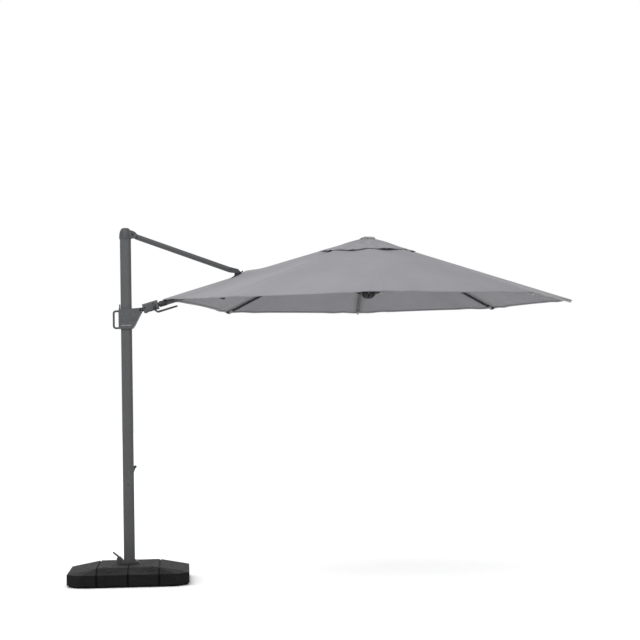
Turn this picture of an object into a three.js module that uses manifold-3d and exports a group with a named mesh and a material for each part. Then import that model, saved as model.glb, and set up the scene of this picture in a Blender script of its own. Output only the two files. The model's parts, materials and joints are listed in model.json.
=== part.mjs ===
// Cantilever parasol: a weighted base, a swivelling mast, a tilting boom hung from an upper arm,
// and an octagonal canopy of eight folding ribs. Millimetres, +Z up, origin on the floor under
// the mast's axis, +X towards the canopy.
import * as THREE from 'three';
import { mergeVertices } from 'three/addons/utils/BufferGeometryUtils.js';
import Module from 'manifold-3d';

const wasm = await Module();
wasm.setup();

// ---- driving dimensions ----
const GAP = 0.3;

const BASE_HALF = 431;
const BASE_TURN = THREE.MathUtils.degToRad(2.5);
const BASE_FOOT = { inset: 12, height: 20 };
const BASE_CHAMFER = 95;
const WALL_HEIGHT = 90;
const PLATEAU = { x: 219, y: 320, z: 131 };
const GROOVE = { width: 10, depth: 7, seam: 1.5, flare: 9 };
const NOTCH = { width: 88, height: 12, depth: 60, places: [-315, -110, 110, 315] };
const CROSS = { half: 395, width: 50, height: 40, wall: 4, centre: 70 };
const TANKS = [['front_right', 1, -1], ['back_right', 1, 1], ['back_left', -1, 1], ['front_left', -1, -1]];
const FILL_CAP = { x: 165, y: 265, radius: 22, top: 131.5, plug: 11, grip: 2 };
const OVER = 5;

const SOCKET = { radius: 55, bore: 30.6, flangeRadius: 82, flangeZ: 131.3, top: 135.3 };
const FOOT = { radius: 70, bottom: 136, top: 150 };
const MAST = { width: 80, depth: 62, corner: 27, wall: 3, top: 2505 };
const CAP = { bottom: 2485, shoulder: 2502, top: 2565, radius: 45, flatten: 0.8, flat: 17 };
const FOOT_BOLTS = { circle: 57, radius: 8, height: 7, degrees: [45, 135, 225, 315] };
const PEDAL = { x: -70, z: 168 };
const CRANK = { z: 700, knobX: 46, knobZ: 826, shaft: 6, hole: 7, housing: 23, grip: 10 };

const CAP_PIVOT = { x: 55, z: 2518 };
const SLIDER_PIVOT = { x: 105, z: 1965 };
const SLIDER = { left: -54, bottom: 1829, top: 1971, halfWidth: 42, earRadius: 15 };
const HANDLE = { left: -98, bottom: 1829, top: 1965, bar: 13, halfWidth: 11, corner: 22 };
const CATCH = { x: -46, z: 1979.5 };

const BOOM_ANGLE = THREE.MathUtils.degToRad(16);
const BOOM = { radius: 20, wall: 2.5, start: 196, end: 1655 };
const BARREL = { start: 20, end: 134, low: -31, high: 36, halfWidth: 27, corner: 13, bore: 15.6 };
const CLAMP = { start: 142, radius: 22 };
const LEVER = { pivot: 108, wire: 5, bend: 9 };
const LEVER_ROUTE = [[0, 33, 0], [-14, 33, -24], [6, 33, -49], [130, 14, -49], [152, 9, -49]];
const BRACKET = { along: 753, above: 68, tip: 16, halfWidth: 12, ring: 26, ringHalf: 30 };
const APRON = { from: [-74, 29], to: [41, 58.5], thick: 7, halfWidth: 25, slotFrom: -38, slotTo: 22 };
const ARM = { top: 10.5, bottom: -28, width: 20, wall: 2, start: 28, fork: 56, plug: 50 };
const CHEEK = { inner: 15, outer: 18.5, reach: 16 };

const CANOPY = { x: 1765, radius: 1500, apex: 2470, rimZ: 1988, cloth: 2.5, bow: 0.03 };
const VENT = { radius: 355, apex: 2474, rise: 11, hole: 9, overlap: 65, stitch: 30 };
const OPENING = { from: 880, to: 1030, halfWidth: 30 };
const RIB_COUNT = 8;
const LEFT_RIB = 4;
const RIB = { pivotRadius: 50, pivotZ: 2438, leftPivotZ: 2382, width: 12, height: 16, tongue: 88 };
const RIB_END = { usual: 1470, left: 1150 };
const STRETCHER_AT = 620;
const STRETCHER = { fork: 84, bridge: 8, half: 6.5, tail: 30 };
const HUB = { radius: 60, bottom: 2364, top: 2449 };
const SLOT = { width: 9, inner: 36, above: 12, deep: 400 };
const RUNNER = { bottom: 2020, top: 2078, radius: 58, slotTop: 190 };
const POLE = { radius: 14, bottom: 2037 };

const RIM_SLOPE = Math.atan((CANOPY.apex - CANOPY.rimZ) / CANOPY.radius);
const RUNNER_PIVOT_Z = RIB.pivotZ - 2 * STRETCHER_AT * Math.sin(RIM_SLOPE);

// ---- materials ----
function paint(color, roughness, metalness) {
  return new THREE.MeshStandardMaterial({ color, roughness, metalness });
}

const BASE_PLASTIC = paint(0x2b2c2e, 0.75, 0);
const DARK_PLASTIC = paint(0x1f2023, 0.6, 0);
const FRAME_METAL = paint(0x55585b, 0.45, 0.4);
const RIB_METAL = paint(0x2c2e32, 0.5, 0.4);
const STEEL = paint(0x8b8d90, 0.35, 0.9);
const CLOTH = paint(0x9d9ea2, 0.9, 0);

// ---- solid helpers ----
function solid(geometry) {
  const bare = geometry.clone();
  bare.deleteAttribute('normal');
  bare.deleteAttribute('uv');
  const merged = mergeVertices(bare, 1e-4);
  const vertProperties = new Float32Array(merged.attributes.position.array);
  const triVerts = new Uint32Array(merged.index.array);
  return new wasm.Manifold(new wasm.Mesh({ numProp: 3, vertProperties, triVerts }));
}

function skin(body) {
  const mesh = body.getMesh();
  const geometry = new THREE.BufferGeometry();
  const positions = new Float32Array(mesh.vertProperties);
  geometry.setAttribute('position', new THREE.BufferAttribute(positions, 3));
  geometry.setIndex(new THREE.BufferAttribute(new Uint32Array(mesh.triVerts), 1));
  return geometry;
}

const join = (first, ...others) => others.reduce((a, b) => a.add(b), first);
const cut = (first, ...others) => others.reduce((a, b) => a.subtract(b), first);

function box(x0, x1, y0, y1, z0, z1) {
  const geometry = new THREE.BoxGeometry(x1 - x0, y1 - y0, z1 - z0);
  return solid(geometry.translate((x0 + x1) / 2, (y0 + y1) / 2, (z0 + z1) / 2));
}

// A round bar along one axis, between two places on it, through the given point of the other two.
function bar(axis, radius, from, to, [p, q] = [0, 0], sides = 24) {
  const geometry = new THREE.CylinderGeometry(radius, radius, to - from, sides);
  geometry.translate(0, (from + to) / 2, 0);
  if (axis === 'x') geometry.rotateZ(-Math.PI / 2).translate(0, p, q);
  if (axis === 'y') geometry.translate(p, 0, q);
  if (axis === 'z') geometry.rotateX(Math.PI / 2).translate(p, q, 0);
  return solid(geometry);
}

function turned(profile, sides = 32) {
  const points = profile.map(([r, z]) => new THREE.Vector2(r, z));
  return new THREE.LatheGeometry(points, sides).rotateX(Math.PI / 2);
}

// An outline in X and Z, given a thickness across Y.
function sideProfile(shape, y0, y1, curveSegments = 8) {
  const sweep = { depth: y1 - y0, bevelEnabled: false, curveSegments };
  const geometry = new THREE.ExtrudeGeometry(shape, sweep);
  return solid(geometry.rotateX(Math.PI / 2).translate(0, y1, 0));
}

function outline(points) {
  return new THREE.Shape(points.map(([x, z]) => new THREE.Vector2(x, z)));
}

function roundedRectangle(width, height, radius) {
  const [w, h] = [width / 2 - radius, height / 2 - radius];
  const shape = new THREE.Shape();
  shape.absarc(w, h, radius, 0, Math.PI / 2, false);
  shape.absarc(-w, h, radius, Math.PI / 2, Math.PI, false);
  shape.absarc(-w, -h, radius, Math.PI, Math.PI * 1.5, false);
  shape.absarc(w, -h, radius, Math.PI * 1.5, Math.PI * 2, false);
  return shape;
}

// The mast's section, grown or shrunk all round, from one height to another.
function mastSection(grow, z0, z1) {
  const shape = roundedRectangle(MAST.width + 2 * grow, MAST.depth + 2 * grow, MAST.corner + grow);
  const sweep = { depth: z1 - z0, bevelEnabled: false, curveSegments: 6 };
  return solid(new THREE.ExtrudeGeometry(shape, sweep).translate(0, 0, z0));
}

// A sheet of even thickness under a grid of points, closed all round.
function sheet(rows, thickness) {
  const [m, n] = [rows.length, rows[0].length];
  const top = rows.flat();
  const bottom = top.map(([x, y, z]) => [x, y, z - thickness]);
  const faces = [];
  const quad = (a, b, c, d) => faces.push(a, b, c, a, c, d);
  for (let i = 0; i < m - 1; i += 1) {
    for (let j = 0; j < n - 1; j += 1) {
      const a = i * n + j;
      quad(a, a + n, a + n + 1, a + 1);
      quad(a + m * n, a + 1 + m * n, a + n + 1 + m * n, a + n + m * n);
    }
  }
  const rim = [];
  for (let j = 0; j < n; j += 1) rim.push(j);
  for (let i = 1; i < m; i += 1) rim.push(i * n + n - 1);
  for (let j = n - 2; j >= 0; j -= 1) rim.push((m - 1) * n + j);
  for (let i = m - 2; i >= 1; i -= 1) rim.push(i * n);
  rim.forEach((a, i) => {
    const b = rim[(i + 1) % rim.length];
    quad(a, b, b + m * n, a + m * n);
  });
  const geometry = new THREE.BufferGeometry();
  const positions = [...top, ...bottom].flat();
  geometry.setAttribute('position', new THREE.Float32BufferAttribute(positions, 3));
  geometry.setIndex(faces);
  return solid(geometry);
}

function piece(name, body, material) {
  const mesh = new THREE.Mesh(skin(body), material);
  mesh.name = name;
  return mesh;
}

function groupAt(x, y, z, ...children) {
  const group = new THREE.Group();
  group.position.set(x, y, z);
  group.add(...children);
  return group;
}

// ---- base ----
function baseLayer(halfX, halfY, chamfer) {
  const [a, b] = [halfX - chamfer, halfY - chamfer];
  const right = [[a, -halfY], [halfX, -b], [halfX, b], [a, halfY]];
  const left = [[-a, halfY], [-halfX, b], [-halfX, -b], [-a, -halfY]];
  return [...right, ...left];
}

// Walls drawn in at the floor, up to the shoulder, then slopes up to the raised middle;
// sunk lowers the slopes and top.
function baseBody(sunk) {
  const half = BASE_HALF - sunk;
  const layers = [
    [0, half - BASE_FOOT.inset, half - BASE_FOOT.inset, BASE_CHAMFER],
    [BASE_FOOT.height, half, half, BASE_CHAMFER],
    [WALL_HEIGHT - sunk, half, half, BASE_CHAMFER],
    [PLATEAU.z - sunk, PLATEAU.x, PLATEAU.y, 2],
  ];
  const top = 8 * (layers.length - 1);
  const points = layers.flatMap(([z, hx, hy, c]) => baseLayer(hx, hy, c).map(([x, y]) => [x, y, z]));
  const faces = [];
  for (let level = 0; level < top; level += 8) {
    for (let i = 0; i < 8; i += 1) {
      const [a, b] = [level + i, level + ((i + 1) % 8)];
      faces.push(a, b, b + 8, a, b + 8, a + 8);
    }
  }
  for (let i = 1; i < 7; i += 1) faces.push(0, i + 1, i, top, top + i, top + i + 1);
  const geometry = new THREE.BufferGeometry();
  geometry.setAttribute('position', new THREE.Float32BufferAttribute(points.flat(), 3));
  geometry.setIndex(faces);
  return solid(geometry);
}

function grooves() {
  const half = GROOVE.width / 2;
  const reach = BASE_HALF + OVER;
  const slab = (x) => box(x - half, x + half, -reach, reach, -OVER, PLATEAU.z + OVER);
  const flares = [-PLATEAU.x, 0, PLATEAU.x].flatMap((x) => [-BASE_HALF, BASE_HALF].map(
    (y) => bar('z', GROOVE.flare, -OVER, PLATEAU.z + OVER, [x, y], 12)));
  return join(cut(join(slab(-PLATEAU.x), slab(PLATEAU.x)), baseBody(GROOVE.depth)), ...flares);
}

function bottomNotches() {
  const reach = BASE_HALF + OVER;
  const inner = BASE_HALF - NOTCH.depth;
  const half = NOTCH.width / 2;
  const cuts = [];
  for (const side of [-1, 1]) {
    const [near, far] = side < 0 ? [-reach, -inner] : [inner, reach];
    for (const at of NOTCH.places) {
      cuts.push(box(at - half, at + half, near, far, -OVER, NOTCH.height));
      cuts.push(box(near, far, at - half, at + half, -OVER, NOTCH.height));
    }
  }
  return join(...cuts);
}

function makeTanks() {
  const slot = CROSS.width / 2 + 1;
  const tip = CROSS.half + 2;
  const reach = BASE_HALF + OVER;
  const whole = cut(
    baseBody(0),
    grooves(),
    bottomNotches(),
    bar('z', SOCKET.radius + 3, -OVER, PLATEAU.z + OVER),
    box(-slot, slot, -tip, tip, -OVER, CROSS.height + 1),
    box(-tip, tip, -slot, slot, -OVER, CROSS.height + 1),
  );
  const meshes = [];
  for (const [name, sx, sy] of TANKS) {
    const [x0, x1] = sx > 0 ? [GROOVE.seam, reach] : [-reach, -GROOVE.seam];
    const [y0, y1] = sy > 0 ? [GROOVE.seam, reach] : [-reach, -GROOVE.seam];
    const [cx, cy] = [FILL_CAP.x * sx, FILL_CAP.y * sy];
    const mouth = bar('z', FILL_CAP.radius + 1, PLATEAU.z - FILL_CAP.plug - 1, PLATEAU.z + OVER, [cx, cy]);
    const tank = cut(whole.intersect(box(x0, x1, y0, y1, -OVER, PLATEAU.z + OVER)), mouth);
    meshes.push(piece(`tank_${name}`, tank, BASE_PLASTIC));
    const stopper = bar('z', FILL_CAP.radius, PLATEAU.z - FILL_CAP.plug, FILL_CAP.top, [cx, cy]);
    const grip = box(cx - 12, cx + 12, cy - 2.5, cy + 2.5, FILL_CAP.top - 1, FILL_CAP.top + FILL_CAP.grip);
    meshes.push(piece(`fill_cap_${name}`, join(stopper, grip), DARK_PLASTIC));
  }
  return meshes;
}

function makeCrossBase() {
  const half = CROSS.width / 2;
  const inner = half - CROSS.wall;
  const arms = join(
    box(-CROSS.half, CROSS.half, -half, half, 0, CROSS.height),
    box(-half, half, -CROSS.half, CROSS.half, 0, CROSS.height),
  );
  const channels = [];
  for (const [from, to] of [[-CROSS.half - OVER, -CROSS.centre], [CROSS.centre, CROSS.half + OVER]]) {
    channels.push(box(from, to, -inner, inner, CROSS.wall, CROSS.height + OVER));
    channels.push(box(-inner, inner, from, to, CROSS.wall, CROSS.height + OVER));
  }
  return piece('cross_base', cut(arms, ...channels), DARK_PLASTIC);
}

function makeSocket() {
  const sleeve = bar('z', SOCKET.radius, CROSS.height + GAP, SOCKET.top, [0, 0], 32);
  const flange = bar('z', SOCKET.flangeRadius, SOCKET.flangeZ, SOCKET.top, [0, 0], 40);
  const bore = bar('z', SOCKET.bore, CROSS.height + 6, SOCKET.top + 1);
  return piece('swivel_socket', cut(join(sleeve, flange), bore), FRAME_METAL);
}

// ---- mast ----
function makeMastFoot() {
  const disc = bar('z', FOOT.radius, FOOT.bottom, FOOT.top, [0, 0], 40);
  const spindle = bar('z', 30, CROSS.height + 8, FOOT.bottom + 1);
  const sleeve = mastSection(-MAST.wall - GAP, FOOT.top - 1, FOOT.top + 110);
  const bolts = FOOT_BOLTS.degrees.map((degrees) => {
    const angle = THREE.MathUtils.degToRad(degrees);
    const at = [FOOT_BOLTS.circle * Math.cos(angle), FOOT_BOLTS.circle * Math.sin(angle)];
    return bar('z', FOOT_BOLTS.radius, FOOT.top - 1, FOOT.top + FOOT_BOLTS.height, at, 6);
  });
  const { bottom } = FOOT;
  const side = outline([[-90, bottom], [-52, bottom], [-52, 160], [-62, 180], [-80, 183], [-90, 174]]);
  const ears = [sideProfile(side, -27, -22), sideProfile(side, 22, 27)];
  const pin = bar('y', 3.5, -27, 27, [PEDAL.x, PEDAL.z], 12);
  return piece('mast_foot', join(disc, spindle, sleeve, ...bolts, ...ears, pin), DARK_PLASTIC);
}

function makePedal() {
  const plate = outline([[-45, 50], [-50, 44], [-6, 6], [20, -11], [25, -5], [2, 12]]);
  const hub = bar('y', 7.5, -20, 20, [0, 0], 16);
  const body = cut(join(sideProfile(plate, -20, 20), hub), bar('y', 3.8, -21, 21, [0, 0], 12));
  return groupAt(PEDAL.x, 0, PEDAL.z, piece('foot_pedal', body, DARK_PLASTIC));
}

function makeMastTube() {
  const wall = cut(
    mastSection(0, FOOT.top + GAP, MAST.top),
    mastSection(-MAST.wall, FOOT.top - OVER, MAST.top + OVER),
    bar('y', CRANK.hole, -MAST.depth, MAST.depth, [0, CRANK.z], 16),
  );
  return piece('mast_tube', wall, FRAME_METAL);
}

function makeMastCap() {
  const profile = [[0, CAP.bottom], [CAP.radius, CAP.bottom], [CAP.radius, CAP.shoulder]];
  const steps = 6;
  for (let step = 1; step <= steps; step += 1) {
    const angle = (step / steps) * (Math.PI / 2);
    const round = CAP.radius - CAP.flat;
    profile.push([
      CAP.flat + round * Math.cos(angle),
      CAP.shoulder + (CAP.top - CAP.shoulder) * Math.sin(angle),
    ]);
  }
  profile.push([0, CAP.top]);
  const dome = solid(turned(profile, 36).scale(1, CAP.flatten, 1));
  const lower = [[0, 2489], [70, 2489], [82, 2495]];
  const upper = [[86, 2512], [78, 2529], [66, 2538], [44, 2546], [0, 2555]];
  const body = cut(
    join(dome, sideProfile(outline([...lower, ...upper]), -24, 24)),
    box(40, 100, -12, 12, 2400, 2534),
    mastSection(GAP + 0.4, CAP.bottom - OVER, MAST.top + GAP),
    bar('y', 5.3, -60, 60, [CAP_PIVOT.x, CAP_PIVOT.z], 16),
  );
  return piece('mast_cap', body, DARK_PLASTIC);
}

function makeCapPin() {
  const shank = bar('y', 5, -26, 26, [CAP_PIVOT.x, CAP_PIVOT.z], 16);
  const head = bar('y', 9, -29, -24 - GAP, [CAP_PIVOT.x, CAP_PIVOT.z], 6);
  return piece('cap_pin', join(shank, head), STEEL);
}

// ---- crank, on the back of the mast, its arm drawn upright about the axle ----
function makeCrank() {
  const back = MAST.depth / 2 + 0.4;
  const outer = back + 8;
  const housing = cut(
    bar('y', CRANK.housing, back, back + 7, [0, CRANK.z], 28),
    bar('y', CRANK.hole, back - 1, back + 8, [0, CRANK.z], 16),
  );
  const reach = Math.hypot(CRANK.knobX, CRANK.knobZ - CRANK.z);
  const handle = join(
    bar('y', 11, outer, outer + 7, [0, 0], 20),
    box(-6, 6, outer, outer + 7, 0, reach),
    bar('y', 9, outer, outer + 7, [0, reach], 20),
    bar('y', CRANK.shaft, -MAST.depth / 2 - 1.5, outer + 1, [0, 0], 16),
    bar('y', 18, -20, 20, [0, 0], 20),
    bar('y', 3.5, outer + 6, outer + 36, [0, reach], 12),
  );
  const grip = cut(
    bar('y', CRANK.grip, outer + 7 + GAP, outer + 38, [0, 0], 20),
    bar('y', 3.8, outer, outer + 37, [0, 0], 12),
  );
  const arm = groupAt(0, 0, CRANK.z, piece('crank_arm', handle, DARK_PLASTIC));
  arm.rotation.y = Math.atan2(CRANK.knobX, CRANK.knobZ - CRANK.z);
  const knob = groupAt(CRANK.knobX, 0, CRANK.knobZ, piece('crank_knob', grip, DARK_PLASTIC));
  return [piece('crank_housing', housing, DARK_PLASTIC), arm, knob];
}

// ---- slider ----
function makeSliderBody() {
  const shape = new THREE.Shape();
  shape.moveTo(SLIDER.left, SLIDER.bottom);
  shape.lineTo(46, SLIDER.bottom);
  shape.lineTo(62, 1850);
  shape.absarc(SLIDER_PIVOT.x, SLIDER_PIVOT.z, SLIDER.earRadius, -0.35, 1.9, false);
  shape.lineTo(SLIDER.left, SLIDER.top);
  const wide = SLIDER.halfWidth;
  const lug = outline([[-53, 1968], [-42, 1968], [-43, 1984], [-52, 1984]]);
  const lugs = [sideProfile(lug, -15, -11), sideProfile(lug, 11, 15)];
  const body = cut(
    sideProfile(shape, -wide, wide, 14),
    mastSection(0.8, SLIDER.bottom - OVER, SLIDER_PIVOT.z + SLIDER.earRadius + OVER),
    box(80, 140, -17, 17, 1938, 2010),
    bar('y', 6.3, -50, 50, [SLIDER_PIVOT.x, SLIDER_PIVOT.z], 16),
  );
  const pin = bar('y', 2.5, -15, 15, [CATCH.x, CATCH.z], 10);
  return piece('slider_body', join(body, ...lugs, pin), FRAME_METAL);
}

function makeCatch() {
  const lever = outline([[-4, -4], [3, -4], [3, 28], [-5, 28]]);
  const body = cut(sideProfile(lever, -10.5, 10.5), bar('y', 2.8, -12, 12, [0, 0], 10));
  return groupAt(CATCH.x, 0, CATCH.z, piece('slider_catch', body, DARK_PLASTIC));
}

function makeHandle() {
  const right = SLIDER.left - GAP;
  const middle = (HANDLE.top + HANDLE.bottom) / 2;
  const tall = HANDLE.top - HANDLE.bottom;
  const wide = 2 * (right - HANDLE.left);
  const outer = roundedRectangle(wide, tall, HANDLE.corner);
  const [innerWide, innerTall] = [wide - 2 * HANDLE.bar, tall - 2 * HANDLE.bar];
  const inner = roundedRectangle(innerWide, innerTall, HANDLE.corner - HANDLE.bar + 1);
  const ring = cut(
    sideProfile(outer, -HANDLE.halfWidth, HANDLE.halfWidth, 5),
    sideProfile(inner, -HANDLE.halfWidth - 1, HANDLE.halfWidth + 1, 5),
    box(0, wide, -20, 20, -tall, tall),
  );
  return groupAt(right, 0, middle, piece('slider_handle', ring, DARK_PLASTIC));
}

function makeSliderPin() {
  const half = SLIDER.halfWidth - 1;
  return piece('slider_pin', bar('y', 6, -half, half, [SLIDER_PIVOT.x, SLIDER_PIVOT.z], 16), STEEL);
}

// ---- boom, drawn along its own axis: X along the boom from the slider's pivot, Z above it ----
function makeYoke() {
  const tongue = cut(
    join(bar('y', 17, -16.5, 16.5, [0, 0], 24), box(0, BARREL.start - GAP, -16.5, 16.5, -15, 15)),
    bar('y', 6.3, -20, 20, [0, 0], 16),
  );
  return piece('pivot_yoke', tongue, DARK_PLASTIC);
}

function makeBarrel() {
  const section = roundedRectangle(BARREL.high - BARREL.low, 2 * BARREL.halfWidth, BARREL.corner);
  const sweep = { depth: BARREL.end - BARREL.start, bevelEnabled: false, curveSegments: 5 };
  const block = new THREE.ExtrudeGeometry(section, sweep).rotateY(Math.PI / 2);
  const body = join(
    solid(block.translate(BARREL.start, 0, (BARREL.high + BARREL.low) / 2)),
    bar('y', 9, -18, 18, [BARREL.start + 16, BARREL.low + 5], 14),
    bar('y', 9, -18, 18, [BARREL.end - 30, BARREL.low + 5], 14),
    bar('y', 4, -37, 37, [LEVER.pivot, 0], 12),
  );
  const bore = bar('x', BARREL.bore, BARREL.start + 20, BARREL.end + 1);
  return piece('tilt_barrel', cut(body, bore), FRAME_METAL);
}

// Each inner corner of a route becomes two points, so that a smooth curve keeps straight legs.
function roundedRoute(corners, bend) {
  const points = [corners[0]];
  for (let i = 1; i < corners.length - 1; i += 1) {
    const toward = (other) => other.clone().sub(corners[i]).setLength(bend).add(corners[i]);
    points.push(toward(corners[i - 1]), toward(corners[i + 1]));
  }
  points.push(corners[corners.length - 1]);
  return new THREE.CatmullRomCurve3(points, false, 'centripetal');
}

// The wire loop hangs from the barrel, drops, then runs out under the boom to its cross bar.
function makeTiltLever() {
  const mirrored = LEVER_ROUTE.map(([x, y, z]) => [x, -y, z]);
  const corners = [...mirrored, ...LEVER_ROUTE.toReversed()].map((p) => new THREE.Vector3(...p));
  const section = new THREE.Shape().absarc(0, 0, LEVER.wire, 0, Math.PI * 2, false);
  const extrudePath = roundedRoute(corners, LEVER.bend);
  const sweep = { steps: 64, bevelEnabled: false, curveSegments: 4, extrudePath };
  const wire = solid(new THREE.ExtrudeGeometry(section, sweep));
  const eyes = [bar('y', 8, -36, -29, [0, 0], 16), bar('y', 8, 29, 36, [0, 0], 16)];
  const body = cut(join(wire, ...eyes), bar('y', 4.4, -40, 40, [0, 0], 12));
  return groupAt(LEVER.pivot, 0, 0, piece('tilt_lever', body, STEEL));
}

function makeBoomCollar() {
  const { along: s, above: h, tip, halfWidth, ring, ringHalf } = BRACKET;
  const gusset = outline([[s - 42, 22], [s + 42, 22], [s + tip, h], [s - tip, h]]);
  const [[x0, z0], [x1, z1]] = [APRON.from, APRON.to];
  const { thick } = APRON;
  const plate = outline([[s + x0, z0 - thick], [s + x1, z1 - thick], [s + x1, z1], [s + x0, z0]]);
  const slot = (y0, y1) => box(s + APRON.slotFrom, s + APRON.slotTo, y0, y1, 25, 65);
  const apron = cut(sideProfile(plate, -APRON.halfWidth, APRON.halfWidth), slot(-21, -13), slot(13, 21));
  const body = join(
    bar('x', ring, s - ringHalf, s + ringHalf, [0, 0], 28),
    sideProfile(gusset, -halfWidth, halfWidth),
    bar('y', tip, -halfWidth, halfWidth, [s, h], 24),
    apron,
  );
  const tube = bar('x', BOOM.radius + 0.5, s - 100, s + 100, [0, 0], 28);
  return piece('boom_collar', cut(body, tube, bar('y', 4.3, -20, 20, [s, h], 12)), DARK_PLASTIC);
}

function makeBracketPin() {
  return piece('bracket_pin', bar('y', 4, -14, 14, [BRACKET.along, BRACKET.above], 12), STEEL);
}

function makeBoomNeck() {
  const inner = BOOM.radius - BOOM.wall - GAP;
  const body = join(
    bar('x', BARREL.bore - GAP, BARREL.start + 22, BOOM.start, [0, 0]),
    bar('x', CLAMP.radius, CLAMP.start, BOOM.start, [0, 0], 28),
    bar('x', inner, BOOM.start - 1, BOOM.start + 60, [0, 0]),
  );
  return piece('boom_neck', body, DARK_PLASTIC);
}

function makeBoomTube() {
  const outer = bar('x', BOOM.radius, BOOM.start + GAP, BOOM.end, [0, 0], 28);
  const inner = bar('x', BOOM.radius - BOOM.wall, BOOM.start - OVER, BOOM.end + OVER);
  return piece('boom_tube', cut(outer, inner), FRAME_METAL);
}

// ---- upper arm, drawn along its own axis from the cap's pivot ----
const ARM_DROP = (() => {
  const [s, h] = [BRACKET.along, BRACKET.above];
  const x = SLIDER_PIVOT.x + s * Math.cos(BOOM_ANGLE) - h * Math.sin(BOOM_ANGLE) - CAP_PIVOT.x;
  const z = SLIDER_PIVOT.z + s * Math.sin(BOOM_ANGLE) + h * Math.cos(BOOM_ANGLE) - CAP_PIVOT.z;
  return { length: Math.hypot(x, z), angle: Math.atan2(-z, x) };
})();

function makeArm() {
  const tip = ARM_DROP.length;
  const [start, end] = [ARM.start, tip - ARM.fork];
  const half = ARM.width / 2;
  const groove = (ARM.top + ARM.bottom) / 2;
  const stretch = (x0, x1, inset) => box(
    x0, x1, inset - half, half - inset, ARM.bottom + inset, ARM.top - inset,
  );
  const [from, to] = [start - OVER, end + OVER];
  const tube = cut(
    stretch(start, end, 0),
    stretch(from, to, ARM.wall),
    box(from, to, half - 0.8, half + 1, groove - 1.5, groove + 1.5),
    box(from, to, -half - 1, 0.8 - half, groove - 1.5, groove + 1.5),
  );
  const upper = cut(
    join(
      bar('y', 13, -11, 11, [0, 0], 20),
      box(0, start - GAP, -11, 11, -13, 13),
      stretch(start - 2, start + ARM.plug, ARM.wall + GAP),
    ),
    bar('y', 5.3, -20, 20, [0, 0], 16),
  );
  const { inner, outer, reach } = CHEEK;
  const cheek = (y0, y1) => join(
    box(end + 6, tip, y0, y1, -reach, reach),
    bar('y', reach, y0, y1, [tip, 0], 20),
  );
  const lower = join(
    stretch(end - ARM.plug, end + 2, ARM.wall + GAP),
    box(end + GAP, end + 9, -outer, outer, ARM.bottom, reach),
    cheek(-outer, -inner),
    cheek(inner, outer),
  );
  return [
    piece('arm_tube', tube, FRAME_METAL),
    piece('arm_upper_end', upper, DARK_PLASTIC),
    piece('arm_lower_end', lower, DARK_PLASTIC),
  ];
}

// ---- crown ----
function crownSlots(pivotZFor) {
  const slots = [];
  for (let k = 0; k < RIB_COUNT; k += 1) {
    const slot = new THREE.BoxGeometry(HUB.radius, SLOT.width, SLOT.deep);
    slot.translate(SLOT.inner + HUB.radius / 2, 0, pivotZFor(k) + SLOT.above - SLOT.deep / 2);
    slots.push(solid(slot.rotateZ((k * Math.PI * 2) / RIB_COUNT)));
  }
  return join(...slots);
}

const pivotZ = (k) => (k === LEFT_RIB ? RIB.leftPivotZ : RIB.pivotZ);

function makeCrownHub() {
  const drum = bar('z', HUB.radius, HUB.bottom, HUB.top, [0, 0], 40);
  const slotted = cut(drum, crownSlots(pivotZ));
  const pole = bar('z', POLE.radius, POLE.bottom, HUB.bottom + 5);
  const spigot = new THREE.CylinderGeometry(17.2, 17.2, 90, 24).rotateZ(-Math.PI / 2);
  const along = BOOM.end + 5 - (CANOPY.x - SLIDER_PIVOT.x) / Math.cos(BOOM_ANGLE);
  spigot.translate(along, 0, 0).rotateY(-BOOM_ANGLE);
  spigot.translate(0, 0, SLIDER_PIVOT.z + (CANOPY.x - SLIDER_PIVOT.x) * Math.tan(BOOM_ANGLE));
  return groupAt(CANOPY.x, 0, 0, piece('crown_hub', join(slotted, pole, solid(spigot)), DARK_PLASTIC));
}

function makeFinial() {
  const stem = [[0, HUB.top + GAP], [6, HUB.top + GAP], [6, 2474]];
  const button = [[13, 2475], [12, 2482], [6, 2487], [0, 2488]];
  return groupAt(CANOPY.x, 0, 0, piece('finial', solid(turned([...stem, ...button], 20)), CLOTH));
}

function makeRunner() {
  const { bottom, top, radius } = RUNNER;
  const bowl = [[0, bottom], [22, bottom], [36, bottom + 7], [48, bottom + 18], [radius, bottom + 32]];
  const body = solid(turned([...bowl, [radius, top], [0, top]], 40));
  const slots = crownSlots(() => top + RUNNER.slotTop);
  const bore = bar('z', POLE.radius + 0.8, bottom + 14, top + 5);
  return groupAt(CANOPY.x, 0, 0, piece('runner', cut(body, slots, bore), DARK_PLASTIC));
}

// ---- ribs, stretchers and canopy, each in its rib's own plane ----
function ribPlan(k) {
  const left = k === LEFT_RIB;
  const slope = slopeOf(k);
  const stretcher = (pivotZ(k) - RUNNER_PIVOT_Z) / (2 * Math.sin(slope));
  const reach = left ? RIB_END.left : RIB_END.usual;
  return { slope, stretcher, length: (reach - RIB.pivotRadius) / Math.cos(slope) };
}

function makeRib(k) {
  const { length } = ribPlan(k);
  const [w, h] = [RIB.width / 2, RIB.height / 2];
  const body = join(
    bar('y', 9, -4, 4, [0, 0], 16),
    box(0, RIB.tongue, -4, 4, -h, h),
    box(RIB.tongue - 1, length, -w, w, -h, h),
  );
  return piece(`rib_${k}`, body, RIB_METAL);
}

function makeStretcher(k) {
  const { stretcher } = ribPlan(k);
  const { fork, bridge, half, tail } = STRETCHER;
  const prong = (y0, y1) => join(bar('y', 8, y0, y1, [0, 0], 14), box(0, fork + 2, y0, y1, -6, 6));
  const body = join(
    prong(-10, -6.8),
    prong(6.8, 10),
    box(fork, fork + bridge, -10, 10, -6, 6),
    box(fork + bridge - 1, stretcher - tail, -5, 5, -half, half),
    box(stretcher - tail - 1, stretcher, -4, 4, -half, half),
    bar('y', 7, -4, 4, [stretcher, 0], 14),
  );
  return piece(`stretcher_${k}`, body, RIB_METAL);
}

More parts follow.
